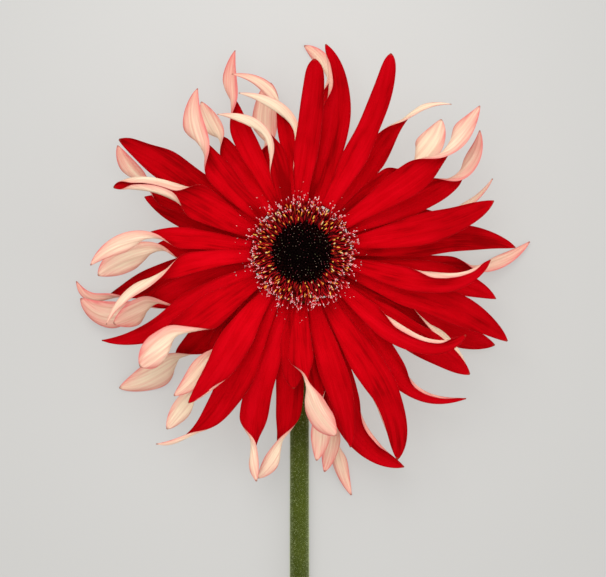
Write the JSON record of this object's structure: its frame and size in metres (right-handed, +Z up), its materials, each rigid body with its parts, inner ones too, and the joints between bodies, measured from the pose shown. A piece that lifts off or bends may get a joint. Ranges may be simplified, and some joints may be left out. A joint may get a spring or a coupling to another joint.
{
  "type": "cut gerbera",
  "caption": "Cut gerbera flower lying face up on its long bare stem, with tousled two-tone ray florets round a dark disc.",
  "frame": {"origin": "middle of the flower's outline seen from above, on the surface that it lies on", "axes": "+Z up, the way the head faces; +Y from the cut end of the stem towards the head; +X to the right seen from above"},
  "size_m": [0.1254, 0.36, 0.0313],
  "materials": {
    "ray": "velvety, red above and cream beneath",
    "stem": "matte, downy green",
    "bract": "matte, downy green",
    "bud": "matte near-black",
    "filament": "satin dark red with pollen-yellow ends",
    "stigma": "satin pale pink"
  },
  "bodies": {
    "root": {"ray_floret_01": "ray", "ray_floret_02": "ray", "ray_floret_03": "ray", "ray_floret_04": "ray", "ray_floret_05": "ray", "ray_floret_06": "ray", "ray_floret_07": "ray", "ray_floret_08": "ray", "ray_floret_09": "ray", "ray_floret_10": "ray", "ray_floret_11": "ray", "ray_floret_12": "ray", "ray_floret_13": "ray", "ray_floret_14": "ray", "ray_floret_15": "ray", "ray_floret_16": "ray", "ray_floret_17": "ray", "ray_floret_18": "ray", "ray_floret_19": "ray", "ray_floret_20": "ray", "ray_floret_21": "ray", "ray_floret_22": "ray", "ray_floret_23": "ray", "ray_floret_24": "ray", "ray_floret_25": "ray", "ray_floret_26": "ray", "ray_floret_27": "ray", "ray_floret_28": "ray", "ray_floret_29": "ray", "ray_floret_30": "ray", "ray_floret_31": "ray", "ray_floret_32": "ray", "ray_floret_33": "ray", "ray_floret_34": "ray", "ray_floret_35": "ray", "ray_floret_36": "ray", "ray_floret_37": "ray", "ray_floret_38": "ray", "ray_floret_39": "ray", "ray_floret_40": "ray", "ray_floret_41": "ray", "ray_floret_42": "ray", "ray_floret_43": "ray", "ray_floret_44": "ray", "ray_floret_45": "ray", "ray_floret_46": "ray", "ray_floret_47": "ray", "ray_floret_48": "ray", "ray_floret_49": "ray", "ray_floret_50": "ray", "ray_floret_51": "ray", "ray_floret_52": "ray", "ray_floret_53": "ray", "ray_floret_54": "ray", "stem": "stem", "bracts_inner_row": "bract", "bracts_outer_row": "bract", "disc_buds": "bud", "disc_florets_inner": "filament", "disc_florets_outer": "stigma"}
  },
  "joints": []
}
